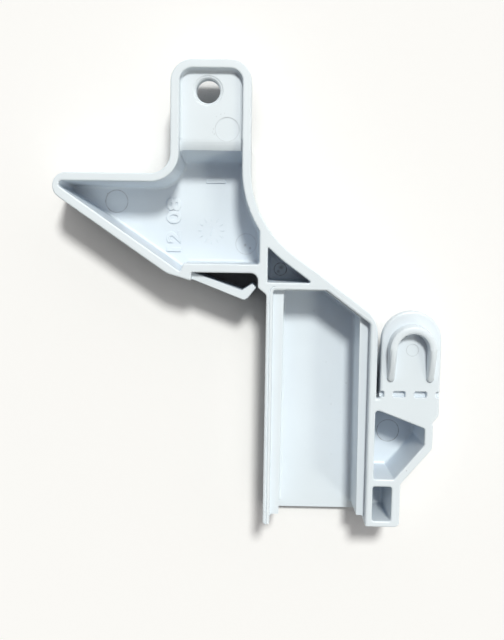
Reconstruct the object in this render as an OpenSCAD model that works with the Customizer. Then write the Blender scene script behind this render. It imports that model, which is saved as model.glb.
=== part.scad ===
// Freezer door support: one moulded tray with a screw tab, a pointed arm, an open
// channel, a spring finger and a tab that can be snapped off.
// The open side of the pockets faces up, the closed side lies on z = 0.

/* [Overall] */
// Height from the closed side to the rim
total_h = 14; // [13:0.5:18]
// Thickness of the floor of the deep pockets
floor_t = 2; // [1.5:0.1:3]
// Thickness of the walls at the rim
wall_t = 1.8; // [1.6:0.1:2.1]
// Thickness of the long slanted wall of the arm
slant_wall_t = 1.95; // [1.75:0.05:2.6]
// Draft of the pocket walls in degrees
draft_deg = 0.9; // [0.3:0.1:1.5]
// Rounding of the rim edges
rim_round = 0.28; // [0.1:0.02:0.34]
// Rounding of the edges of the closed side
back_round = 0.7; // [0.4:0.1:1]
// Fillet between pocket walls and pocket floors
floor_fillet = 0.6; // [0.3:0.1:0.8]

/* [Screw tab] */
// Width of the screw tab
tab_w = 16.85; // [15.5:0.05:18.5]
// Distance from the top of the arm to the top of the tab
tab_l = 23.3; // [21:0.05:27]
// Corner radius of the tab
tab_r = 4.5; // [3.5:0.1:5.5]
// Depth of the recess in the tab
tab_recess = 1.8; // [1.5:0.1:2.6]
// Thickness of the tab at the screw hole
tab_floor_t = 2.6; // [2.2:0.1:3]
// Depth of the recess under the tab
tab_skirt = 3.6; // [2.4:0.1:4.4]
// Diameter of the screw hole
bore_d = 5; // [4:0.1:6]
// Distance from the top of the tab to the screw hole
bore_from_top = 6.1; // [5.6:0.1:8]
// Distance of the screw hole to the left of the tab's middle
bore_shift = 0.75; // [0:0.05:1.2]
// Diameter of the ring round the screw hole
spot_d = 6.5; // [6.2:0.1:7.4]
// Depth of the ring round the screw hole
spot_depth = 0.15; // [0.1:0.05:0.4]
// Width of the chamfer at the screw hole
bore_chamfer = 0.3; // [0.1:0.05:0.5]
// Length over which the tab's floor rolls over to the step
roll_l = 2.4; // [1.6:0.1:3]
// Drop of the tab's floor where it rolls over
roll_drop = 0.7; // [0.4:0.05:1]

/* [Arm] */
// Distance from the tab's left side to the tip of the arm
arm_l = 24.75; // [22:0.05:28]
// Angle of the slanted side of the arm
arm_deg = 34.4; // [33:0.1:35.5]
// Radius of the arm's tip
arm_tip_r = 2.85; // [2.4:0.05:3.2]
// Radius between the arm and the tab
arm_fillet_r = 4.1; // [3:0.1:5]

/* [Tray] */
// Width of the channel from outer face to outer face
channel_w = 23.8; // [22:0.05:26]
// Distance from the top of the arm to the end of the channel
tray_l = 75; // [70:0.1:80]
// Distance from the top of the arm to the upper face of the spring gap
gap_down = 20.6; // [20.2:0.1:21]
// Thickness of the wall over the spring gap
gap_wall_t = 1.85; // [1.6:0.05:2.1]
// Radius of the curve from the tab to the slanted side
sweep_r = 22; // [19:0.5:24]
// Angle of the slanted side of the tray
sweep_deg = 36.1; // [35:0.1:37]
// Radius of the corner between the slanted side and the channel
shoulder_r = 7; // [5:0.5:9]

/* [Channel] */
// Width of the left shelf of the channel
left_shelf_w = 2.1; // [1.6:0.1:2.6]
// Depth of the left shelf under the rim
left_shelf_depth = 1.8; // [1:0.1:1.9]
// Width of the right ledge of the channel
right_ledge_w = 2; // [1.4:0.1:2.4]
// Depth of the right ledge under the rim
right_ledge_depth = 2.1; // [2:0.1:2.6]
// Rounding of the rim along the channel
channel_round = 0.5; // [0.2:0.05:0.6]
// Distance of the fine groove on the rim from the channel
groove_in = 0.85; // [0.75:0.05:0.95]
// Depth of the fine groove on the rim
groove_depth = 0.15; // [0.08:0.01:0.2]

/* [Spring finger] */
// Thickness of the spring finger
finger_t = 1.8; // [1.4:0.1:2]
// Angle of the spring finger
finger_deg = 19.9; // [19:0.1:20.5]
// Depth of the spring finger's edge under the rim
finger_drop = 1.75; // [1:0.05:2.5]
// Length of the hook at the end of the spring finger
hook_l = 3.25; // [2.6:0.05:3.4]

/* [Snap-off tab] */
// Width of the snap-off tab
snap_w = 12.7; // [12:0.1:14]
// Distance from the end of the tray to the top of the snap-off tab
snap_up = 47; // [45:0.1:50]
// Thickness of the snap-off tab
snap_t = 2; // [1.6:0.1:2.4]
// Width of the slot between the tab and the channel
slot_w = 0.75; // [0.4:0.05:0.9]
// Outer radius of the raised loop on the tab
loop_r = 4.95; // [4.4:0.05:5.3]
// Width of the raised loop
loop_t = 1.6; // [1.2:0.1:1.8]
// Height of the raised loop
loop_h = 3; // [2:0.1:4]
// Height of the loop's ends
loop_end_h = 0.5; // [0.45:0.05:1.5]
// Length of the pits in the break line
pit_l = 2.62; // [2.2:0.02:2.9]
// Width of the pits in the break line
pit_w = 1.25; // [1:0.05:1.5]
// Depth of the pits in the break line
pit_depth = 1; // [0.6:0.1:1.4]
// Distance from pit to pit
pit_pitch = 4.53; // [4.3:0.05:4.7]

/* [Lower bracket] */
// Width of the small pocket's block beside the channel
socket_block_w = 5.75; // [5:0.05:6.5]
// Width of the large pocket's block beside the channel
bracket_w = 12.3; // [11.5:0.05:13]
// Distance from the end of the tray to the top of the small pocket
socket_up = 8.9; // [8:0.1:10]
// Wall between the small and the large pocket
bracket_rib_t = 1.65; // [1.4:0.05:2]

/* [Hidden] */
$fn = 48;

draft = tan(draft_deg);
pocket_floor = floor_t;
// Drawing positions: x = 0 and y = 0 are the middle of the box round the part
arm_y = 25.85;
tab_left = -16.5 - (tab_w - 16.85) / 2;
tab_right = tab_left + tab_w;
tab_top = arm_y + tab_l;
end_y = arm_y - tray_l;
ch_left = 4;
ch_right = ch_left + channel_w;
gap_y = arm_y - gap_down;
bore_x = (tab_left + tab_right) / 2 - bore_shift;
bore_y = tab_top - bore_from_top;
tab_floor_z = total_h - tab_recess;
tab_under_z = tab_floor_z - tab_floor_t - tab_skirt;
step_low_y = arm_y + 3.75;
step_high_y = arm_y + 5.1;
sweep_slope = tan(sweep_deg);
// The slanted side passes through this point
sweep_x = 15.19;
sweep_y = 5.13;
arm_slope = tan(arm_deg);
arm_tip_x = tab_left - arm_l + arm_tip_r;
// Where the lines of the arm's top and slanted side meet
arm_point_x = arm_tip_x - arm_tip_r / tan(arm_deg / 2);
finger_slope = tan(finger_deg);
finger_x = -1.2;
finger_y = -0.42;
block_x = -11.9;
inner_arm_point_x = arm_point_x + wall_t / tan(arm_deg) + slant_wall_t / sin(arm_deg);
snap_left = ch_right + slot_w;
snap_right = snap_left + snap_w;
snap_top = end_y + snap_up;
snap_mid = (snap_left + snap_right) / 2;
break_y = snap_top - 17.85;
slot_end_y = snap_top - 18.8;
bracket_right = ch_right + bracket_w;
bracket_top = break_y - 3.35;
bracket_slope = tan(21.2);
socket_right = ch_right + socket_block_w;
socket_top = end_y + socket_up;
pocket_low_y = socket_top + bracket_rib_t;

function unit(v) = v / norm(v);
function left_of(v) = [-v[1], v[0]];

// Points of one corner of an outline that is moved inwards by d
function corner_points(c, i, d) =
  let (n = len(c),
       p = c[(i + n - 1) % n],
       q = c[i],
       s = c[(i + 1) % n],
       a = unit([q[0] - p[0], q[1] - p[1]]),
       b = unit([s[0] - q[0], s[1] - q[1]]),
       na = left_of(a),
       nb = left_of(b),
       k = d / (1 + na * nb),
       v = [q[0] + k * (na[0] + nb[0]), q[1] + k * (na[1] + nb[1])],
       t = atan2(cross(a, b), a * b),
       side = t > 0 ? 1 : -1,
       r = max(q[2] - side * d, 0.08),
       steps = q[2] > 10 ? ceil(abs(t) / 5) : q[2] > 2 ? ceil(abs(t) / 11) : q[2] > 0.5 ? ceil(abs(t) / 18) : 3,
       m = v - a * r * tan(abs(t) / 2),
       o = m + na * r * side,
       w = m - o)
  q[2] == 0 ? [v] :
  [for (j = [0:steps])
    let (e = t * j / steps)
    [o[0] + w[0] * cos(e) - w[1] * sin(e), o[1] + w[0] * sin(e) + w[1] * cos(e)]];

function ring(c, d) = [for (i = [0:len(c) - 1]) for (p = corner_points(c, i, d)) p];

function within(p, a, b, c) = cross(b - a, p - a) >= 0 && cross(c - b, p - b) >= 0 && cross(a - c, p - c) >= 0;

// Whether corner i of the outline can be cut off as a triangle
function is_ear(pts, idx, i) =
  let (n = len(idx),
       a = pts[idx[(i + n - 1) % n]],
       b = pts[idx[i]],
       c = pts[idx[(i + 1) % n]])
  cross(b - a, c - b) > 0 && len([for (j = idx) if (pts[j] != a && pts[j] != b && pts[j] != c && within(pts[j], a, b, c)) j]) == 0;

function first_ear(pts, idx, i) = i >= len(idx) || is_ear(pts, idx, i) ? i : first_ear(pts, idx, i + 1);

// Cuts a flat outline into triangles
function triangles(pts, idx, out = []) =
  len(idx) <= 3 ? concat(out, [idx]) :
  let (n = len(idx), i = first_ear(pts, idx, 0) % n)
  triangles(pts, [for (k = [0:n - 1]) if (k != i) idx[k]], concat(out, [[idx[(i + n - 1) % n], idx[i], idx[(i + 1) % n]]]));

function flat(pts) = [for (p = pts) [p[0], p[1]]];

// A solid through rings of equal point count, each at its own height unless its points have one
module loft(rings, heights) {
  n = len(rings[0]);
  m = len(heights);
  pts = [for (k = [0:m - 1]) for (p = rings[k]) len(p) == 3 ? p : [p[0], p[1], heights[k]]];
  sides = [for (k = [0:m - 2]) for (i = [0:n - 1])
    let (j = (i + 1) % n)
    [k * n + i, (k + 1) * n + i, (k + 1) * n + j, k * n + j]];
  low = triangles(flat(rings[0]), [for (i = [0:n - 1]) i]);
  high = triangles(flat(rings[m - 1]), [for (i = [0:n - 1]) i]);
  polyhedron(
    points = pts,
    faces = concat(low, [for (t = high) [for (k = [2:-1:0]) (m - 1) * n + t[k]]], sides),
    convexity = 8
  );
}

// A wall outline that is rounded at the closed side and at the rim
module outer(c, low, high) {
  h = [low, low + 0.3 * back_round, low + back_round, high - rim_round, high - 0.3 * rim_round, high];
  d = [back_round, 0.3 * back_round, 0, 0, 0.3 * rim_round, rim_round];
  loft([for (k = [0:len(h) - 1]) ring(c, d[k] + 0.4 * draft * (high - h[k]))], h);
}

// A pocket with a filleted floor and a rounded rim, open upwards
module pocket(c, low, high) {
  f = min(floor_fillet, (high - low) / 3);
  h = [low, low + 0.3 * f, low + f, high - rim_round, high - 0.3 * rim_round, high, high + 1];
  d = [f, 0.3 * f, 0, 0, -0.3 * rim_round, -rim_round, -rim_round];
  loft([for (k = [0:len(h) - 1]) ring(c, d[k] + draft * max(high - h[k], 0))], h);
}

// Outline of the deep tray with the channel
body_c = [
  [ch_left, end_y, 0.7],
  [ch_right, end_y, 0.3],
  [ch_right, sweep_y - sweep_slope * (ch_right - sweep_x), shoulder_r],
  [tab_right, sweep_y - sweep_slope * (tab_right - sweep_x), sweep_r],
  [tab_right, step_high_y + wall_t, 0.3],
  [tab_left, step_high_y + wall_t, 0.3],
  [tab_left, arm_y, arm_fillet_r],
  [arm_point_x, arm_y, arm_tip_r],
  [-17.1, arm_y - arm_slope * (-17.1 - arm_point_x), 3],
  [block_x, finger_y - finger_slope * (block_x - finger_x), 0.3],
  [block_x, gap_y, 0.25],
  [2.2, gap_y, 1.6],
  [2.2, 2.2, 0.7],
  [ch_left, 0.75, 0.7]
];

tab_c = [
  [tab_left, arm_y + 2, 0.3],
  [tab_right, arm_y + 2, 0.3],
  [tab_right, tab_top, tab_r],
  [tab_left, tab_top, tab_r]
];

// The recess is a hair narrower than the deep pocket that it runs into
tab_gap = wall_t + 0.06;
tab_pocket_c = [
  [tab_left + tab_gap, step_high_y + roll_l - 1.1, 0.1],
  [tab_right - tab_gap, step_high_y + roll_l - 1.1, 0.1],
  [tab_right - tab_gap, tab_top - wall_t, tab_r - wall_t],
  [tab_left + tab_gap, tab_top - wall_t, tab_r - wall_t]
];

tab_under_c = [
  [tab_left + wall_t, step_high_y + wall_t + 1.7, 1],
  [tab_right - wall_t, step_high_y + wall_t + 1.7, 1],
  [tab_right - wall_t, tab_top - wall_t, tab_r - wall_t],
  [tab_left + wall_t, tab_top - wall_t, tab_r - wall_t]
];

function sweep_inner(x, off) = sweep_y - sweep_slope * (x - sweep_x) - off / cos(sweep_deg);

// Centre of the sweep
sweep_cx = tab_right + sweep_r;
sweep_cy = sweep_y - sweep_slope * (tab_right - sweep_x) + sweep_r * tan((90 - sweep_deg) / 2);

// Outline of the deep pocket, with its upper side at the step to the tab
deep_arc_r = sweep_r + wall_t;
deep_arc_deg = acos((sweep_cx - 2.1) / deep_arc_r);
deep_arc_end_y = sweep_cy - deep_arc_r * sin(deep_arc_deg);
function deep_c(step_y) = [
  [-14.2, arm_y - arm_slope * (-14.2 - arm_point_x) + slant_wall_t / cos(arm_deg), 0.3],
  [-13.6, gap_y + gap_wall_t, 0.3],
  [2.45, gap_y + gap_wall_t, 0.6],
  [2.45, deep_arc_end_y - 0.35 / tan(deep_arc_deg), 0.12],
  [tab_right - wall_t, sweep_cy - deep_arc_r * tan(deep_arc_deg / 2), deep_arc_r],
  [tab_right - wall_t, step_y, 0.6],
  [tab_left + wall_t, step_y, 0.6],
  [tab_left + wall_t, arm_y - wall_t, arm_fillet_r + wall_t],
  [inner_arm_point_x, arm_y - wall_t, 0.75]
];

module deep_pocket() {
  f = floor_fillet;
  z0 = pocket_floor;
  z1 = tab_floor_z;
  // Shares of the length over which the tab's floor bends down to the step
  s = [0, 0.22, 0.44, 0.68, 1];
  roll_h = [for (v = s) z1 + 0.02 - (roll_drop + 0.02) * pow(1 - v, 2.2)];
  roll_y = [for (v = s) step_high_y + roll_l * v];
  end = roll_y[4];
  h = concat([z0, z0 + 0.3 * f, z0 + f], roll_h, [total_h - rim_round, total_h - 0.3 * rim_round, total_h, total_h + 1]);
  d = [f, 0.3 * f, 0, 0, 0, 0, 0, 0, 0, -0.3 * rim_round, -rim_round, -rim_round];
  y = concat([step_low_y, step_low_y, step_low_y + 0.05], roll_y, [end, end, end, end]);
  loft([for (k = [0:len(h) - 1]) ring(deep_c(y[k]), d[k] + draft * max(total_h - h[k], 0))], h);
}

// Outline of the three-cornered pocket
corner_wall_t = wall_t + 0.5;
corner_x = ch_left + 0.2;
corner_low_y = 3.35;
corner_arc_r = sweep_r + corner_wall_t;
corner_arc_deg = acos((sweep_cx - corner_x - 1.7) / corner_arc_r);
corner_arc_end_x = sweep_cx - corner_arc_r * cos(corner_arc_deg);
corner_arc_end_y = sweep_cy - corner_arc_r * sin(corner_arc_deg);
corner_turn = 90 - sweep_deg - corner_arc_deg;
corner_line = corner_arc_r * tan(corner_turn / 2);
corner_c = [
  [corner_x, corner_low_y, 0.2],
  [sweep_x + (sweep_y - corner_wall_t / cos(sweep_deg) - corner_low_y) / sweep_slope, corner_low_y, 0.25],
  [
    corner_arc_end_x + corner_line * sin(corner_arc_deg),
    corner_arc_end_y - corner_line * cos(corner_arc_deg),
    corner_arc_r
  ],
  [corner_x, corner_arc_end_y + 1.7 / tan(corner_arc_deg), 0.12]
];

shelf_x = 5.5;
ledge_x = ch_right - 1.64;

channel_low_c = [
  [shelf_x + left_shelf_w - 0.2, end_y - 3, 0],
  [ledge_x - right_ledge_w + 0.35, end_y - 3, 0],
  [ledge_x - right_ledge_w, sweep_inner(ledge_x - right_ledge_w, wall_t + 0.2), 0.6],
  [sweep_x + (sweep_y - wall_t / cos(sweep_deg) - 1.68) / sweep_slope - 0.2, 1.68, 0.6],
  [shelf_x + left_shelf_w + 0.15, 1.68, 0.5]
];

channel_top_c = [
  [shelf_x, end_y - 3, 0],
  [ledge_x, end_y - 3, 0],
  [ledge_x, sweep_inner(ledge_x, wall_t), 0.8],
  [sweep_x + (sweep_y - wall_t / cos(sweep_deg) - 1.68) / sweep_slope, 1.68, 0.6],
  [shelf_x, 1.68, 0.4]
];

// The shelf and the ledge stop a little inside the end of the tray
channel_end_c = [
  [shelf_x, end_y - 3, 0],
  [ledge_x, end_y - 3, 0],
  [ledge_x, end_y + 1.9, 0.7],
  [shelf_x, end_y + 1.9, 0.7]
];

bracket_c = [
  [ch_right - 1.5, end_y, 0.3],
  [socket_right, end_y, 1],
  [socket_right, pocket_low_y - 1, 0.8],
  [bracket_right, pocket_low_y + 6.8, 1.6],
  [bracket_right, bracket_top + 1.9 - bracket_slope * 12, 1.2],
  [ch_right - 1.5, bracket_top + 1.9 + bracket_slope * 1.5, 0.3]
];

bracket_pocket_c = [
  [ch_right - 0.1, pocket_low_y, 0.5],
  [socket_right - 1.5, pocket_low_y, 0.5],
  [bracket_right - 1.75, pocket_low_y + 7.6, 0.8],
  [bracket_right - 1.75, bracket_top - bracket_slope * 10.4, 0.6],
  [ch_right - 0.1, bracket_top, 0.7]
];

socket_c = [
  [ch_right - 0.2, end_y + 1.3, 0.5],
  [socket_right - 1.85, end_y + 1.3, 0.5],
  [socket_right - 1.85, socket_top, 0.5],
  [ch_right - 0.2, socket_top, 0.5]
];

snap_c = [
  [ch_right - 1, bracket_top - 1.3, 0],
  [bracket_right - 0.4, bracket_top - 5, 0],
  [bracket_right, break_y - 6.1, 0.5],
  [snap_right, break_y - 4.6, 0.8],
  [snap_right, snap_top, snap_w / 2 - 0.02],
  [snap_left, snap_top, snap_w / 2 - 0.02],
  [snap_left, slot_end_y, 0.25],
  [ch_right - 1, slot_end_y, 0]
];

hook_dx = cos(45);
hook_dy = sin(45);
elbow = [finger_x + 0.4, finger_y - finger_slope * 0.4];
finger_c = [
  [block_x - 1.5, finger_y - finger_slope * (block_x - 1.5 - finger_x) + 0.3, 0],
  [elbow[0], elbow[1], 0.5],
  [elbow[0] + 0.8, elbow[1] + 0.4, 0.4],
  [elbow[0] + hook_l * hook_dx + 0.35, elbow[1] + hook_l * hook_dy + 0.4, 0.3],
  [elbow[0] + hook_l * hook_dx - 0.5, elbow[1] + hook_l * hook_dy + 1.25, 0.3],
  [elbow[0] + 0.8 - 1.25, elbow[1] + 2.1, 0.3],
  [block_x - 1.5, finger_y - finger_slope * (block_x - 1.5 - finger_x) + finger_t / cos(finger_deg) - 0.05, 0]
];

loop_end_y = snap_top - 15;
loop_bend_y = snap_top - 3.05 - loop_r;
loop_c = [
  [snap_mid + loop_r, loop_end_y, 0.7],
  [snap_mid + loop_r, snap_top - 3.05, loop_r - 0.02],
  [snap_mid - loop_r, snap_top - 3.05, loop_r - 0.02],
  [snap_mid - loop_r, loop_end_y, 0.7],
  [snap_mid - loop_r + loop_t, loop_end_y, 0.7],
  [snap_mid - loop_r + loop_t, snap_top - 3.05 - loop_t, loop_r - loop_t - 0.02],
  [snap_mid + loop_r - loop_t, snap_top - 3.05 - loop_t, loop_r - loop_t - 0.02],
  [snap_mid + loop_r - loop_t, loop_end_y, 0.7]
];

module finger() {
  top = total_h - finger_drop;
  h = [0, 0.3, top - 0.2, top];
  d = [0.25, 0, 0, 0.15];
  loft([for (k = [0:3]) ring(finger_c, d[k])], h);
}

// Height of the loop over the plate, which falls along its legs
function loop_rise(y) =
  y > loop_bend_y ? loop_h : loop_end_h + (loop_h - loop_end_h) * (y - loop_end_y) / (loop_bend_y - loop_end_y);

module loop_rib() {
  h = [0, -0.42, -0.12, 0];
  d = [-0.05, 0.02, 0.12, 0.42];
  low = [for (p = ring(loop_c, d[0])) [p[0], p[1], total_h - 0.5]];
  loft(concat([low], [for (k = [1:3]) [for (p = ring(loop_c, d[k])) [p[0], p[1], total_h + loop_rise(p[1]) + h[k]]]]), h);
}

module snap_plate() {
  top = total_h;
  low = total_h - snap_t;
  h = [low, low + 0.25, top - 0.5, top - 0.25, top - 0.07, top];
  d = [0.25, 0, 0, 0.07, 0.25, 0.5];
  loft([for (k = [0:5]) ring(snap_c, d[k])], h);
}

// The room over the shelf and the ledge, with a softly rounded rim
module channel_top() {
  r = channel_round;
  h = [total_h - left_shelf_depth, total_h - r, total_h - 0.6 * r, total_h - 0.2 * r, total_h, total_h + 1];
  d = [0, 0, -0.08 * r, -0.4 * r, -r, -r];
  loft([for (k = [0:5]) ring(channel_top_c, d[k])], h);
}

// The ledge on the right lies deeper than the shelf on the left
module ledge_room() {
  x = ledge_x - right_ledge_w;
  c = [
    [x - 1.2, end_y - 3, 0],
    [ledge_x, end_y - 3, 0],
    [ledge_x, sweep_inner(ledge_x, wall_t), 0.8],
    [x - 0.2, sweep_inner(x - 0.2, wall_t), 0],
    [x - 1.2, sweep_inner(x - 0.2, wall_t) - 1, 0]
  ];
  loft([ring(c, 0.04), ring(c, 0.04)], [total_h - right_ledge_depth, total_h - left_shelf_depth + 0.3]);
}

module channel_end() {
  loft([ring(channel_end_c, 0), ring(channel_end_c, 0)], [pocket_floor, total_h - 1]);
}

// The channel's floor ends a hair before its walls do
module floor_end() {
  c = [[shelf_x, end_y - 2, 0], [ledge_x, end_y - 2, 0], [ledge_x, end_y + 0.27, 0.1], [shelf_x, end_y + 0.27, 0.1]];
  loft([ring(c, 0), ring(c, 0)], [-1, pocket_floor + 0.5]);
}

// Outline of a narrow band round three sides of the channel, between two distances from it
function band(near, far) =
  let (a = ring(channel_top_c, -far), b = ring(channel_top_c, -near), n = len(a))
  concat([for (i = [1:n - 1]) a[i]], [a[0]], [b[0]], [for (i = [n - 1:-1:1]) b[i]]);

// A groove as fine as a mould joint that runs round the channel on the rim
module rim_groove() {
  g = groove_depth;
  loft([band(groove_in - 0.05, groove_in + 0.05), band(groove_in - 0.05 - g, groove_in + 0.05 + g),
        band(groove_in - 0.05 - g, groove_in + 0.05 + g)],
       [total_h - g, total_h + 0.02, total_h + 0.5]);
}

// Rounds the free corner of a wall at the open end of the channel
module round_end(x, side) {
  r = 0.65;
  c = [for (k = [0:6]) let (e = 90 * k / 6) [x - side * (r - (r + 0.04) * sin(e)), end_y + r - (r + 0.04) * cos(e)]];
  corner = [x + side * 0.3, end_y - 0.9];
  pts = concat([[x - side * r, corner[1]]], c, [[corner[0], c[6][1]], corner]);
  p = side > 0 ? concat([for (i = [len(pts) - 1:-1:0]) pts[i]]) : pts;
  loft([p, p], [pocket_floor, total_h + 1]);
}

module pit(x0, x1) {
  c = [
    [x0, break_y - pit_w / 2, 0.3],
    [x1, break_y - pit_w / 2, 0.3],
    [x1, break_y + pit_w / 2, 0.3],
    [x0, break_y + pit_w / 2, 0.3]
  ];
  loft([ring(c, 0.15), ring(c, 0.02), ring(c, 0), ring(c, -0.16), ring(c, -0.16)],
       [total_h - pit_depth, total_h - pit_depth + 0.2, total_h - 0.15, total_h, total_h + 1]);
}

module solid_parts() {
  outer(body_c, 0, total_h);
  outer(tab_c, tab_under_z, total_h);
  outer(bracket_c, 0, total_h);
  snap_plate();
  finger();
  loop_rib();
}

// Round marks that the ejector pins leave on the floors
module pin_marks() {
  translate([-4.7, tab_top - 14, tab_floor_z - 0.1]) cylinder(d = 5, h = 1);
  translate([-29.9, arm_y - 5.3, pocket_floor - 0.1]) cylinder(d = 5, h = 1);
  translate([-0.75, gap_y + 6.15, pocket_floor - 0.1]) cylinder(d = 4.6, h = 1);
  translate([bracket_right - 7.75, bracket_top - 7.2, pocket_floor - 0.1]) cylinder(d = 5, h = 1);
  translate([ch_left + 3, gap_y + 0.45, pocket_floor - 0.1]) cylinder(d = 2.8, h = 1);
  translate([snap_mid + 0.25, snap_top - 8.35, total_h - 0.08]) cylinder(d = 2.55, h = 1);
}

// The part is drawn about its box's middle, and stays there when a size changes
mid_x = (tab_left - arm_l + snap_right) / 2;
mid_y = (tab_top + end_y) / 2;

module door_support() {
  color([0.88, 0.91, 0.92])
  translate([-mid_x, -mid_y, 0])
  difference() {
    solid_parts();
    deep_pocket();
    pocket(tab_pocket_c, tab_floor_z, total_h);
    pocket(corner_c, pocket_floor, total_h);
    loft([ring(tab_under_c, 0), ring(tab_under_c, 0.05)], [tab_under_z - 1, tab_under_z + tab_skirt]);
    pocket(channel_low_c, pocket_floor, total_h - 1);
    channel_top();
    ledge_room();
    channel_end();
    floor_end();
    rim_groove();
    round_end(shelf_x, 1);
    round_end(ledge_x, -1);
    pocket(bracket_pocket_c, pocket_floor, total_h);
    pocket(socket_c, pocket_floor, total_h);
    pit(snap_mid - pit_pitch / 2 - pit_l / 2, snap_mid - pit_pitch / 2 + pit_l / 2);
    pit(snap_mid + pit_pitch / 2 - pit_l / 2, snap_mid + pit_pitch / 2 + pit_l / 2);
    pit(snap_mid + 1.5 * pit_pitch - pit_l / 2, snap_right + 1);
    pit(snap_left - slot_w, snap_mid - 1.5 * pit_pitch + pit_l / 2);
    translate([bore_x, bore_y, 0]) cylinder(d = bore_d, h = total_h + 2);
    translate([bore_x, bore_y, tab_floor_z - spot_depth]) cylinder(d1 = spot_d - 0.6, d2 = spot_d + 1.4, h = 0.5);
    translate([bore_x, bore_y, tab_floor_z - spot_depth - bore_chamfer])
      cylinder(d1 = bore_d, d2 = bore_d + 3 * bore_chamfer, h = 1.5 * bore_chamfer);
    pin_marks();
  }
}

door_support();
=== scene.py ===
import math

import bpy
import numpy as np
from mathutils import Matrix, Vector


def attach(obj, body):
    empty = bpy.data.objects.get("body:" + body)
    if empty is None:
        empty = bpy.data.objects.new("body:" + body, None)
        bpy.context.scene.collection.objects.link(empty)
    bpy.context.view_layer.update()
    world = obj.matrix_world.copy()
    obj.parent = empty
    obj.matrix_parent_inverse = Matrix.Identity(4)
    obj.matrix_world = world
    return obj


# The view: a camera that looks down on the open side from over the part's upper half.
# The part lies on its flat back, so that its rims face the camera.
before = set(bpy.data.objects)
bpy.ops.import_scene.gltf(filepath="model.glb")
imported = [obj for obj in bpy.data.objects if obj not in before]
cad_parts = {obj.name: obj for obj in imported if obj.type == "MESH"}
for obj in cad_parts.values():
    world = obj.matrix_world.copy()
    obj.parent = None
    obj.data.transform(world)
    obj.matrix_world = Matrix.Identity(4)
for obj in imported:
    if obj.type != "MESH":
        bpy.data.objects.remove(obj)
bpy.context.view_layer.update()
MM = 0.001
RIM_Z = 14.0
CAMERA_SPOT = (3.80, 10.59, 178.5)
CAMERA_AIM = (1.08, -4.62, 14.0)
CAMERA_ROLL = -0.85
LENS = 43.93
SENSOR = 36
NEAREST = 10


def make_camera():
    """Its back points from the aim to the spot, and its right is square to that and to the part's y."""
    spot = Vector(CAMERA_SPOT) * MM
    aim = Vector(CAMERA_AIM) * MM
    back = (spot - aim).normalized()
    right = Vector((0, 1, 0)).cross(back).normalized()
    up = back.cross(right)
    roll = Matrix.Rotation(math.radians(-CAMERA_ROLL), 4, "Z")
    turn = Matrix((right, up, back)).transposed().to_4x4() @ roll
    data = bpy.data.cameras.new("camera")
    data.lens = LENS
    data.sensor_width = SENSOR
    data.clip_start = NEAREST * MM
    camera = bpy.data.objects.new("camera", data)
    camera.matrix_world = Matrix.Translation(spot) @ turn
    bpy.context.collection.objects.link(camera)
    bpy.context.scene.camera = camera


make_camera()

# The light: two suns with wide discs give the two soft shadows, and a dim sky fills them.
# The strong one stands high beyond the screw tab. The weak one stands lower, beyond the lower
# right corner, and lights only the part. The sky is brightest towards the upper right.
SUNS = {  # the way the light falls, the disc's width in degrees, the strength and the colour
    "window": ((-1.95, -7.1, -12.0), 10.0, 2.27, (1.0, 1.0, 0.965)),
    "lamp": ((-9.8, 8.4, -10.0), 11.0, 0.50, (1.0, 0.965, 0.85)),
}
SKY_COLOUR = (0.56, 0.54, 0.535, 1)
SKY_SLOPE = {"X": (0.39, 1.0), "Y": (0.5, 0.5)}  # by axis, the slope and the middle's strength


def node(nodes, kind, **values):
    """A new node with its settings, or else its inputs, set by name."""
    n = nodes.new(kind)
    for key, value in values.items():
        if hasattr(n, key):
            setattr(n, key, value)
        else:
            n.inputs[key.replace("_", " ")].default_value = value
    return n


def feed(links, socket, value):
    """Links the socket to another one, or sets it to a plain number or colour."""
    if isinstance(value, bpy.types.NodeSocket):
        links.new(value, socket)
    else:
        socket.default_value = value


def maths(nodes, links, operation, *values):
    """The result of a Math node on sockets or plain numbers."""
    n = node(nodes, "ShaderNodeMath", operation=operation)
    for socket, value in zip(n.inputs, values):
        feed(links, socket, value)
    return n.outputs[0]


def make_lights():
    """The sky's strength is a straight slope along x times a straight slope along y."""
    for name, (fall, spread, strength, colour) in SUNS.items():
        data = bpy.data.lights.new(name, "SUN")
        data.energy = strength
        data.angle = math.radians(spread)
        data.color = colour
        sun = bpy.data.objects.new(name, data)
        sun.rotation_mode = "QUATERNION"
        sun.rotation_quaternion = Vector(fall).to_track_quat("-Z", "Y")
        bpy.context.collection.objects.link(sun)
    world = bpy.data.worlds.new("studio")
    world.use_nodes = True
    nodes, links = world.node_tree.nodes, world.node_tree.links
    place = node(nodes, "ShaderNodeTexCoord")
    axes = node(nodes, "ShaderNodeSeparateXYZ")
    links.new(place.outputs["Generated"], axes.inputs[0])
    slopes = [maths(nodes, links, "MULTIPLY_ADD", axes.outputs[axis], slope, middle)
              for axis, (slope, middle) in SKY_SLOPE.items()]
    sky = nodes["Background"]
    sky.inputs["Color"].default_value = SKY_COLOUR
    links.new(maths(nodes, links, "MULTIPLY", *slopes), sky.inputs["Strength"])
    bpy.context.scene.world = world
    bpy.context.scene.view_settings.view_transform = "Standard"


make_lights()


# The table: a smooth white board, stage only, that the part lies on. Its colour holds painted
# shade where little of the room reaches it, and painted light that makes it a little lighter beside
# the part. The weak sun is kept off it, and a faint painted glow that only the camera and
# reflections see makes up for that where it is open.
TABLE_SEEN = (0.96, 0.96, 0.95, 1)
TABLE_BOUNCE = (0.72, 0.72, 0.70, 1)
TABLE_NOOK = {"Reach": 14 * MM, "Darkest": 0.25, "Full": 0.55}
TABLE_PAINTED_LIFT = {"From_Min": 0.9, "From_Max": 1.0, "To_Min": 1.08, "To_Max": 1.0}
TABLE_PAINTED_GLOW = {"From_Min": 0.6, "From_Max": 1.0, "To_Min": 0.0, "To_Max": 0.11}
TABLE_HALF = 600
TABLE_DROP = 0.05


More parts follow.
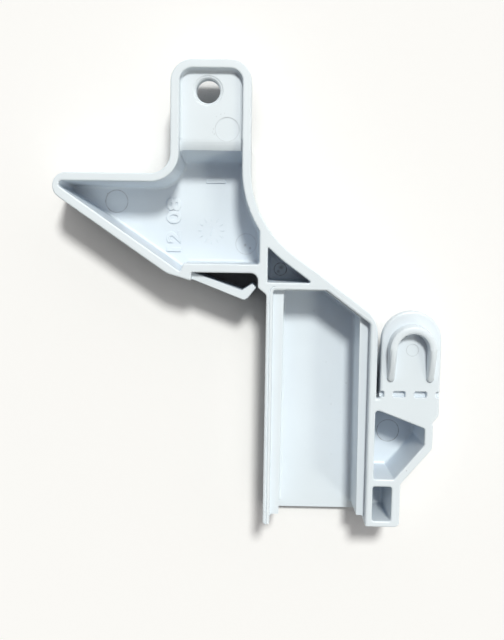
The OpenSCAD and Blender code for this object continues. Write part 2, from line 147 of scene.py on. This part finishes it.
def material(name):
    m = bpy.data.materials.new(name)
    m.use_nodes = True
    return m, m.node_tree.nodes, m.node_tree.links


def new_group(name, inputs, outputs):
    """An empty node group with named inputs of given kinds and with float outputs."""
    group = bpy.data.node_groups.new(name, "ShaderNodeTree")
    for label, kind in inputs:
        group.interface.new_socket(label, in_out="INPUT", socket_type="NodeSocket" + kind)
    for label in outputs:
        group.interface.new_socket(label, in_out="OUTPUT", socket_type="NodeSocketFloat")
    nodes = group.nodes
    return group, nodes, group.links, nodes.new("NodeGroupInput"), nodes.new("NodeGroupOutput")


def placed(nodes, group, **values):
    n = nodes.new("ShaderNodeGroup")
    n.node_tree = group
    for key, value in values.items():
        n.inputs[key].default_value = value
    return n


def make_nook():
    """Openness is the share of a point's surroundings with nothing in the way within Reach.
    Shade is one where that is Full or more, and falls evenly to Darkest where hardly any is open;
    it is painted shade for colours."""
    group, nodes, links, given, out = new_group(
        "nook", [("Reach", "Float"), ("Darkest", "Float"), ("Full", "Float")], ["Shade", "Openness"])
    look = node(nodes, "ShaderNodeAmbientOcclusion", samples=6)
    links.new(given.outputs["Reach"], look.inputs["Distance"])
    shade = node(nodes, "ShaderNodeMapRange", From_Min=0.02)
    links.new(look.outputs["AO"], shade.inputs["Value"])
    links.new(given.outputs["Full"], shade.inputs["From Max"])
    links.new(given.outputs["Darkest"], shade.inputs["To Min"])
    links.new(shade.outputs["Result"], out.inputs["Shade"])
    links.new(look.outputs["AO"], out.inputs["Openness"])
    return group


def ranged(nodes, links, value, **values):
    """The result of a Map Range node on one socket."""
    n = node(nodes, "ShaderNodeMapRange", **values)
    links.new(value, n.inputs["Value"])
    return n.outputs["Result"]


def mixed(nodes, links, factor, first, second, blend_type="MIX"):
    """The first colour where the factor is 0, and the second, or the blend of both, where it is 1."""
    mix = node(nodes, "ShaderNodeMix", data_type="RGBA", blend_type=blend_type)
    for name, value in (("Factor", factor), ("A", first), ("B", second)):
        feed(links, mix.inputs[name], value)
    return mix.outputs["Result"]


def multiplied(nodes, links, colour, value):
    return mixed(nodes, links, 1.0, colour, value, "MULTIPLY")


nook = make_nook()


def make_table():
    m, nodes, links = material("table")
    shader = nodes["Principled BSDF"]
    shader.inputs["Roughness"].default_value = 0.9
    shader.inputs["Specular IOR Level"].default_value = 0.1
    # Painted shade: the table's white darkens where little is open near the part.
    under = placed(nodes, nook, **TABLE_NOOK)
    # Painted light: the white is up to 8 percent lighter within reach of the part.
    painted_lift = ranged(nodes, links, under.outputs["Openness"], **TABLE_PAINTED_LIFT)
    shade = maths(nodes, links, "MULTIPLY", under.outputs["Shade"], painted_lift)
    path = node(nodes, "ShaderNodeLightPath")
    seen = maths(nodes, links, "MAXIMUM", path.outputs["Is Camera Ray"], path.outputs["Is Glossy Ray"])
    white = multiplied(nodes, links, TABLE_SEEN, shade)
    links.new(mixed(nodes, links, seen, TABLE_BOUNCE, white), shader.inputs["Base Color"])
    # Painted light: a glow that only the camera and reflections see stands in for the weak sun.
    painted_glow = ranged(nodes, links, under.outputs["Openness"], **TABLE_PAINTED_GLOW)
    shader.inputs["Emission Color"].default_value = TABLE_SEEN
    links.new(maths(nodes, links, "MULTIPLY", painted_glow, seen), shader.inputs["Emission Strength"])
    half = TABLE_HALF * MM
    corners = [(-half, -half, 0), (half, -half, 0), (half, half, 0), (-half, half, 0)]
    mesh = bpy.data.meshes.new("table")
    mesh.from_pydata(corners, [], [(0, 1, 2, 3)])
    mesh.materials.append(m)
    table = bpy.data.objects.new("table", mesh)
    table.location.z = -TABLE_DROP * MM
    bpy.context.collection.objects.link(table)
    unlit = bpy.data.collections.new("out_of_the_lamp")
    unlit.objects.link(table)
    bpy.data.objects["lamp"].light_linking.receiver_collection = unlit
    unlit.collection_objects[0].light_linking.link_state = "EXCLUDE"


make_table()


# The support is one moulding of pale, faintly blue plastic with a satin skin and flow marks.
# Thin grey rings of painted shade lie round the ejector pin marks, a few dark grains sit in the
# skin, and painted shade darkens the colour in tight corners and creases.
# Light that has bounced twice or more takes the darker of its two colours.
PIGMENT = (0.812, 0.892, 0.945, 1)
PIGMENT_BOUNCE = (0.42, 0.51, 0.65, 1)
PLASTIC_NOOK = {"Reach": 5 * MM, "Darkest": 0.6, "Full": 0.30}
SHARP_FROM = 32
SOIL_AND_RING_SHADE = (0.23, 0.23, 0.235, 1)
RING_WIDTH = 0.16
MARK_DEPTH = 0.4
STAIN_SIZE = 0.3
GRAIN_STRENGTH = 0.8
STAIN_STRENGTH = 0.65
# Painted shade: thin grey rings that stand for the shade at the ejector pin marks' shallow edges.
PIN_RINGS = [  # centre, radius and strength
    ((-4.75, 35.2, 12.1), 2.5, 0.30),
    ((-29.87, 20.55, 2.0), 2.5, 0.55),
    ((-0.72, 11.42, 2.0), 2.3, 0.30),
    ((32.35, -30.64, 2.0), 2.5, 0.70),
    ((7.1, 5.9, 2.0), 1.4, 0.85),
    ((35.13, -10.48, 14.0), 1.27, 0.30),
]
GRAINS = [  # centre and size, the largest being soft stains
    ((4.53, -0.96, 13.9), 0.16), ((4.57, -1.6, 13.9), 0.12), ((4.5, -0.1, 13.9), 0.10),
    ((6.2, 1.0, 12.2), 0.20), ((14.89, -3.46, 2.0), 0.17), ((17.88, -15.06, 2.0), 0.14),
    ((22.55, -19.82, 2.0), 0.17), ((18.98, -22.89, 2.0), 0.10), ((19.25, -24.74, 2.0), 0.14),
    ((21.35, -26.56, 2.0), 0.10), ((10.27, -21.42, 2.0), 0.11), ((13.77, -35.82, 2.0), 0.11),
    ((19.53, -36.41, 2.0), 0.12), ((9.19, -37.32, 2.0), 0.10), ((7.8, -11.56, 2.0), 0.10),
    ((34.74, -36.58, 14.0), 0.16), ((-9.12, 7.02, 2.0), 0.18), ((-13.9, 30.72, 12.2), 0.16),
    ((-7.6, 35.23, 12.2), 0.18), ((-7.44, 34.2, 12.2), 0.16), ((-7.75, 34.61, 12.2), 0.14),
    ((-7.0, 37.8, 12.2), 0.12), ((-6.1, 38.3, 12.2), 0.12), ((-5.3, 38.5, 12.2), 0.10),
    ((7.3, 6.4, 2.0), 0.85), ((6.7, 5.3, 2.0), 0.7), ((-0.9, 11.2, 2.0), 0.50),
    ((0.2, 10.5, 2.0), 0.45), ((-31.9, 22.2, 2.0), 0.26), ((-27.7, 21.6, 2.0), 0.24),
    ((-27.5, 20.6, 2.0), 0.20),
]


def make_ring_line():
    """Mask of a thin circle: one on it, fading to nothing at Width from it, near its centre's height."""
    inputs = [("Place", "Vector"), ("Centre", "Vector"), ("Radius", "Float"), ("Width", "Float")]
    group, nodes, links, given, out = new_group("ring_line", inputs, ["Mask"])
    away = node(nodes, "ShaderNodeVectorMath", operation="SUBTRACT")
    links.new(given.outputs["Place"], away.inputs[0])
    links.new(given.outputs["Centre"], away.inputs[1])
    level = node(nodes, "ShaderNodeVectorMath", operation="MULTIPLY")
    links.new(away.outputs[0], level.inputs[0])
    level.inputs[1].default_value = (1, 1, 0)
    span = node(nodes, "ShaderNodeVectorMath", operation="LENGTH")
    links.new(level.outputs[0], span.inputs[0])
    off = maths(nodes, links, "SUBTRACT", span.outputs["Value"], given.outputs["Radius"])
    line = node(nodes, "ShaderNodeMapRange", interpolation_type="SMOOTHSTEP", To_Min=1.0, To_Max=0.0)
    links.new(maths(nodes, links, "ABSOLUTE", off), line.inputs["Value"])
    links.new(given.outputs["Width"], line.inputs["From Max"])
    height = node(nodes, "ShaderNodeSeparateXYZ")
    links.new(away.outputs[0], height.inputs[0])
    near = maths(nodes, links, "COMPARE", height.outputs["Z"], 0, MARK_DEPTH * MM)
    links.new(maths(nodes, links, "MULTIPLY", line.outputs["Result"], near), out.inputs["Mask"])
    return group


def make_grain():
    """Mask of a soft spot that fades to nothing at Size from its centre."""
    group, nodes, links, given, out = new_group(
        "grain", [("Place", "Vector"), ("Centre", "Vector"), ("Size", "Float")], ["Mask"])
    away = node(nodes, "ShaderNodeVectorMath", operation="DISTANCE")
    links.new(given.outputs["Place"], away.inputs[0])
    links.new(given.outputs["Centre"], away.inputs[1])
    spot = node(nodes, "ShaderNodeMapRange", interpolation_type="SMOOTHSTEP", To_Min=1.0, To_Max=0.0)
    links.new(away.outputs["Value"], spot.inputs["Value"])
    links.new(given.outputs["Size"], spot.inputs["From Max"])
    links.new(spot.outputs["Result"], out.inputs["Mask"])
    return group


def noise(nodes, links, place, **values):
    n = node(nodes, "ShaderNodeTexNoise", **values)
    links.new(place, n.inputs["Vector"])
    return n.outputs["Fac"]


def soil_and_ring_shade_mask(nodes, links, place):
    """The highest of all ring and grain masks, broken up by noise. The rings are painted shade at the pin
    marks' edges; the grains are dark dirt in the skin.
    """
    ring_line, grain = make_ring_line(), make_grain()
    marks = []
    for centre, radius, strength in PIN_RINGS:
        sizes = {"Radius": radius * MM, "Width": RING_WIDTH * MM}
        marks.append((placed(nodes, ring_line, Centre=[c * MM for c in centre], **sizes), strength))
    for centre, size in GRAINS:
        strength = GRAIN_STRENGTH if size < STAIN_SIZE else STAIN_STRENGTH
        marks.append((placed(nodes, grain, Centre=[c * MM for c in centre], Size=size * MM), strength))
    top = 0.0
    for mark, strength in marks:
        links.new(place, mark.inputs["Place"])
        part = maths(nodes, links, "MULTIPLY", mark.outputs["Mask"], strength)
        top = maths(nodes, links, "MAXIMUM", top, part)
    patchy = noise(nodes, links, place, Scale=1100.0, Detail=2.0)
    broken_up = ranged(nodes, links, patchy, From_Min=0.35, From_Max=0.6, To_Min=0.45, To_Max=1.0)
    return maths(nodes, links, "MULTIPLY", top, broken_up)


def make_plastic():
    m, nodes, links = material("moulded_plastic")
    shader = nodes["Principled BSDF"]
    shader.inputs["IOR"].default_value = 1.5
    place = node(nodes, "ShaderNodeTexCoord").outputs["Object"]
    flow = noise(nodes, links, place, Scale=90.0, Detail=4.0, Roughness=0.55)
    tint = ranged(nodes, links, flow, From_Min=0.3, From_Max=0.7, To_Min=0.975, To_Max=1.005)
    satin = ranged(nodes, links, flow, From_Min=0.3, From_Max=0.7, To_Min=0.36, To_Max=0.46)
    links.new(satin, shader.inputs["Roughness"])
    skin = multiplied(nodes, links, PIGMENT, tint)
    soiled_and_ring_shaded = mixed(nodes, links, soil_and_ring_shade_mask(nodes, links, place), skin, SOIL_AND_RING_SHADE)
    # Painted shade: the colour darkens in tight corners and creases, where little is open within reach.
    crevice_shade = placed(nodes, nook, **PLASTIC_NOOK)
    shaded = multiplied(nodes, links, soiled_and_ring_shaded, crevice_shade.outputs["Shade"])
    path = node(nodes, "ShaderNodeLightPath")
    later = ranged(nodes, links, path.outputs["Diffuse Depth"], From_Min=1.0, From_Max=2.0)
    links.new(mixed(nodes, links, later, shaded, PIGMENT_BOUNCE), shader.inputs["Base Color"])
    bump = node(nodes, "ShaderNodeBump", Strength=0.12, Distance=0.00005)
    links.new(noise(nodes, links, place, Scale=2600.0, Detail=3.0), bump.inputs["Height"])
    links.new(bump.outputs["Normal"], shader.inputs["Normal"])
    return m


plastic = make_plastic()
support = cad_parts["door_support"]
for slot in support.material_slots:
    slot.material = plastic
support.data.shade_smooth()
support.data.set_sharp_from_angle(angle=math.radians(SHARP_FROM))
even = support.modifiers.new("even_shading", "WEIGHTED_NORMAL")
even.keep_sharp = True


# The loop on the snap-off tab: a rib bent like a horseshoe that keeps the tab's mate in place.
# It is moulded with the tab; its legs run down to the tab's face and end round.
LOOP_MIDDLE = (34.9, -10.15)
LOOP_BEND = 4.15
LOOP_END_Y = -17.25
LOOP_HALF = 0.86
LOOP_CROWN = 0.25
LOOP_DRAFT = 0.16
LOOP_RISE = 3.03
LOOP_END_RISE = 0.56
LOOP_END_DROP = 0.4
LOOP_EASE = 0.75
FLANK_POWER = 0.45
TOP_POWER = 0.5
ROOT = 0.05


def tube_faces(rows, columns, ring):
    """Quads between neighbours of a grid of points whose last column joins its first.
    A ring joins its last row to its first too; any other tube gets one flat face on each end."""
    i = np.arange(rows if ring else rows - 1)[:, None]
    j = np.arange(columns)[None, :]
    here, beyond, aside = i * columns, (i + 1) % rows * columns, (j + 1) % columns
    sides = np.stack([here + j, here + aside, beyond + aside, beyond + j], -1).reshape(-1, 4).tolist()
    if ring:
        return sides
    first = list(range(columns))
    return sides + [first[::-1], [k + (rows - 1) * columns for k in first]]


def add_piece(name, points, faces, sharp=40):
    """A smooth plastic piece from points in mm, with edges sharper than the given angle kept."""
    mesh = bpy.data.meshes.new(name)
    mesh.from_pydata((np.asarray(points) * MM).tolist(), [], [list(f) for f in faces])
    mesh.materials.append(plastic)
    mesh.shade_smooth()
    mesh.set_sharp_from_angle(angle=math.radians(sharp))
    piece = bpy.data.objects.new(name, mesh)
    bpy.context.collection.objects.link(piece)
    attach(piece, "root")


def make_loop():
    """Along the horseshoe, a cross-section with steep flanks and a soft top, cos and sin of one angle
    raised to powers under one. It is a quarter wider at the crown of the bend, and within half
    a width of each end it closes like a quarter circle."""
    leg = LOOP_MIDDLE[1] - LOOP_END_Y
    whole = 2 * leg + math.pi * LOOP_BEND
    ends = LOOP_HALF * (1 - np.cos(np.linspace(0, np.pi / 2, 9)))
    s = np.concatenate([ends, np.linspace(LOOP_HALF, whole - LOOP_HALF, 110)[1:-1], whole - ends[::-1]])
    turn = np.clip((s - leg) / LOOP_BEND, 0, math.pi)
    over = np.minimum(s - leg, 0) - np.maximum(s - leg - math.pi * LOOP_BEND, 0)
    centre_x = LOOP_MIDDLE[0] - LOOP_BEND * np.cos(turn)
    centre_y = LOOP_MIDDLE[1] + LOOP_BEND * np.sin(turn) + over
    near = np.minimum(s, whole - s).clip(0, LOOP_HALF) / LOOP_HALF
    shrink = np.sqrt(1 - (1 - near) ** 2).clip(0.02)
    share = (1 + over / leg).clip(0, 1)
    share = (1 - LOOP_EASE) * share + LOOP_EASE * np.sin(share * math.pi / 2)
    rise = LOOP_END_RISE + (LOOP_RISE - LOOP_END_RISE) * share
    rise = rise * (1 - LOOP_END_DROP + LOOP_END_DROP * shrink)
    t = np.linspace(0, math.pi, 25)
    wide = np.sign(np.cos(t)) * np.abs(np.cos(t)) ** FLANK_POWER
    high = np.sin(t).clip(0) ** TOP_POWER
    draft = 1 - LOOP_DRAFT * high
    half = LOOP_HALF * (1 + LOOP_CROWN * np.sin(turn)) * shrink
    offset = half[:, None] * (wide * draft)[None, :]
    x = centre_x[:, None] - np.cos(turn)[:, None] * offset
    y = centre_y[:, None] + np.sin(turn)[:, None] * offset
    z = RIM_Z - ROOT + (rise[:, None] + ROOT) * high[None, :]
    points = np.stack([x, y, z], -1).reshape(-1, 3)
    add_piece("loop", points, tube_faces(len(s), len(t), False), 60)


make_loop()


# The skirt under the screw tab: a thin wall round its edge that stands the tab off the table.
# It is moulded with the tab and goes on down from the short skirt of the solid.
SKIRT_LEFT, SKIRT_RIGHT = -16.3, 0.15
SKIRT_LOW_Y, SKIRT_TOP_Y = 31.6, 48.95
SKIRT_WALL = 1.6
SKIRT_CORNER = 4.3
SKIRT_TOP, SKIRT_BOTTOM = 6.2, 4.3
SKIRT_EDGE = 0.3
CORNER_STEPS = 9


def rounded_box(inset, crevice_shade):
    """Corner arcs of a box, one after the other, each swept through a quarter turn."""
    r = crevice_shade - inset
    a = np.linspace(0, math.pi / 2, CORNER_STEPS)
    out = []
    for k, (x, y) in enumerate([(SKIRT_RIGHT, SKIRT_TOP_Y), (SKIRT_LEFT, SKIRT_TOP_Y),
                                (SKIRT_LEFT, SKIRT_LOW_Y), (SKIRT_RIGHT, SKIRT_LOW_Y)]):
        sx, sy = (1, -1, -1, 1)[k], (1, 1, -1, -1)[k]
        angle = a + k * math.pi / 2
        out.append(np.stack([x - sx * crevice_shade + r * np.cos(angle), y - sy * crevice_shade + r * np.sin(angle)], -1))
    return np.concatenate(out)


def make_skirt():
    """Six loops of one outline, down the outside and up the inside, with slightly rounded lower edges."""
    edge_z = SKIRT_BOTTOM + SKIRT_EDGE
    steps = [(0, SKIRT_TOP), (0.03, edge_z), (SKIRT_EDGE, SKIRT_BOTTOM),
             (SKIRT_WALL - SKIRT_EDGE, SKIRT_BOTTOM), (SKIRT_WALL - 0.05, edge_z),
             (SKIRT_WALL - 0.02, SKIRT_TOP)]
    around = 4 * CORNER_STEPS
    rings = [np.column_stack([rounded_box(d, SKIRT_CORNER), np.full(around, z)]) for d, z in steps]
    points = np.stack(rings, 1).reshape(-1, 3)
    add_piece("tab_skirt", points, tube_faces(around, len(steps), True))


make_skirt()


# A gusset under the snap-off tab, beside the slot that parts it from the channel.
# It is moulded under the tab's face, deepest at the break line, where it makes the slot dark.
RIB_SIDES = (29.35, 30.75)
RIB_SIDE_VIEW = [(-21.2, 12.3), (-21.2, 0.3), (-17.2, 0.3), (-8.4, 8.0), (-8.4, 12.3)]


def make_rib():
    """One side view, as y and z, at each of the two sides."""
    points = [(x, y, z) for x in RIB_SIDES for y, z in RIB_SIDE_VIEW]
    add_piece("tab_rib", points, tube_faces(2, len(RIB_SIDE_VIEW), False))


make_rib()


# The joint line on the channel's rim is a hair deep where two mould faces met well:
# a flat bead fills the groove there, all but the last two hundredths of a millimetre.
JOINT_PATH = [(27.01, -49.0, 0), (27.01, -4.665, 1.65), (17.143, 2.53, 1.45), (5.9, 2.53, 0)]
JOINT_HALF = 0.2
JOINT_HEIGHTS = (13.84, 13.985)


def rounded_path(corners):
    """Straight runs joined by arcs: at each corner, points at even angles on the arc that touches both."""
    out = [np.array(corners[0][:2])]
    for k in range(1, len(corners) - 1):
        before, here, after = (np.array(corners[j][:2]) for j in (k - 1, k, k + 1))
        a, b = (here - before) / np.linalg.norm(here - before), (after - here) / np.linalg.norm(after - here)
        turn = math.acos(a @ b)
        side = 1 if a[0] * b[1] > a[1] * b[0] else -1
        inward = np.array([-a[1], a[0]]) * side
        radius = corners[k][2]
        start = here - a * radius * math.tan(turn / 2)
        for e in np.linspace(0, turn, CORNER_STEPS):
            out.append(start + radius * (a * math.sin(e) + inward * (1 - math.cos(e))))
    return np.array(out + [np.array(corners[-1][:2])])


def make_joint_bead():
    """A low box section carried along the rounded path, square to it at every point."""
    line = rounded_path(JOINT_PATH)
    along = np.gradient(line, axis=0)
    along /= np.linalg.norm(along, axis=1)[:, None]
    across = np.column_stack([-along[:, 1], along[:, 0]])
    low, high = JOINT_HEIGHTS
    section = [(-JOINT_HALF, low), (JOINT_HALF, low), (JOINT_HALF, high), (-JOINT_HALF, high)]
    rows = [np.column_stack([line + across * d, np.full(len(line), z)]) for d, z in section]
    points = np.stack(rows, 1).reshape(-1, 3)
    add_piece("joint_bead", points, tube_faces(len(line), len(section), False))


make_joint_bead()


# Marks that the mould leaves raised on the deep floor: plain numerals, a small dial and a bar.
# They are part of the moulding. The numerals stand nearly three tenths of a millimetre above
# the floor, and the rest a tenth to a quarter.
FLOOR_Z = 2.0
NUMERALS = "12 08"
NUMERAL_BASE_X, NUMERAL_LOW_Y, NUMERAL_HIGH_Y = -15.35, 9.5, 21.5
NUMERAL_TALL = 3.3
NUMERAL_THICK = 0.34
DIAL_AT, DIAL_RADIUS = (-8.55, 14.3), 2.55
TICKS, TICK_LONG, TICK_WIDE = 12, 0.75, 0.26
POINTER_LONG, POINTER_WIDE, POINTER_TURN = 2.2, 0.28, 80
DIAL_TALL = 0.14
BAR_AT, BAR_LONG, BAR_WIDE, BAR_TALL = (-7.6, 25.3), 4.4, 1.05, 0.25
BLOCK_TAPER = 0.6


def make_numerals():
    """Numerals of the built-in typeface, raised, then turned a quarter so that they read up the part.
    Points that meet are made one, so that each numeral is closed."""
    curve = bpy.data.curves.new("numerals", "FONT")
    curve.body = NUMERALS
    curve.extrude = 0.03
    curve.bevel_depth = 0.018
    curve.offset = 0.02
    curve.resolution_u = 4
    thing = bpy.data.objects.new("numerals_curve", curve)
    bpy.context.collection.objects.link(thing)
    mesh = bpy.data.meshes.new_from_object(thing.evaluated_get(bpy.context.evaluated_depsgraph_get()))
    bpy.data.objects.remove(thing)
    p = np.empty(len(mesh.vertices) * 3)
    mesh.vertices.foreach_get("co", p)
    p = p.reshape(-1, 3)
    low, size = p.min(0), np.ptp(p, 0)
    along = (p[:, 0] - low[0]) / size[0] * (NUMERAL_HIGH_Y - NUMERAL_LOW_Y) + NUMERAL_LOW_Y
    up = NUMERAL_BASE_X - (p[:, 1] - low[1]) / size[1] * NUMERAL_TALL
    z = FLOOR_Z - ROOT + (p[:, 2] - low[2]) / size[2] * NUMERAL_THICK
    points, same = np.unique(np.column_stack([up, along, z]).round(4), axis=0, return_inverse=True)
    faces = [list(dict.fromkeys(same.ravel()[list(f.vertices)].tolist())) for f in mesh.polygons]
    bpy.data.meshes.remove(mesh)
    add_piece("numerals", points, [f for f in faces if len(f) > 2], 35)


def raised_blocks(rows):
    """One block for each row of middle, length, width, turn and height, a little narrower at its top."""
    side = np.array([(-1, -1), (1, -1), (1, 1), (-1, 1)]) / 2
    points, faces = [], []
    block = [(0, 3, 2, 1), (4, 5, 6, 7), (0, 1, 5, 4), (1, 2, 6, 5), (2, 3, 7, 6), (3, 0, 4, 7)]
    for k, (x, y, length, width, turn, tall) in enumerate(rows):
        c, s = math.cos(turn), math.sin(turn)
        for z, less in ((FLOOR_Z - ROOT, 0), (FLOOR_Z + tall, BLOCK_TAPER * tall)):
            a = side * (length - less, width - less)
            points.append(np.column_stack([x + a @ (c, -s), y + a @ (s, c), np.full(4, z)]))
        faces += [tuple(8 * k + i for i in f) for f in block]
    return np.concatenate(points), faces


def make_dial_and_bar():
    """Ticks at even angles round the dial's middle, one pointer across it, and the bar above."""
    x, y = DIAL_AT
    rows = []
    for a in np.arange(TICKS) * math.pi / (TICKS / 2):
        tick_x = x + DIAL_RADIUS * math.cos(a)
        tick_y = y + DIAL_RADIUS * math.sin(a)
        rows.append((tick_x, tick_y, TICK_LONG, TICK_WIDE, a, DIAL_TALL))
    rows.append((x, y, POINTER_LONG, POINTER_WIDE, math.radians(POINTER_TURN), DIAL_TALL))
    rows.append((*BAR_AT, BAR_LONG, BAR_WIDE, 0, BAR_TALL))
    add_piece("dial_and_bar", *raised_blocks(rows), 35)


make_numerals()
make_dial_and_bar()
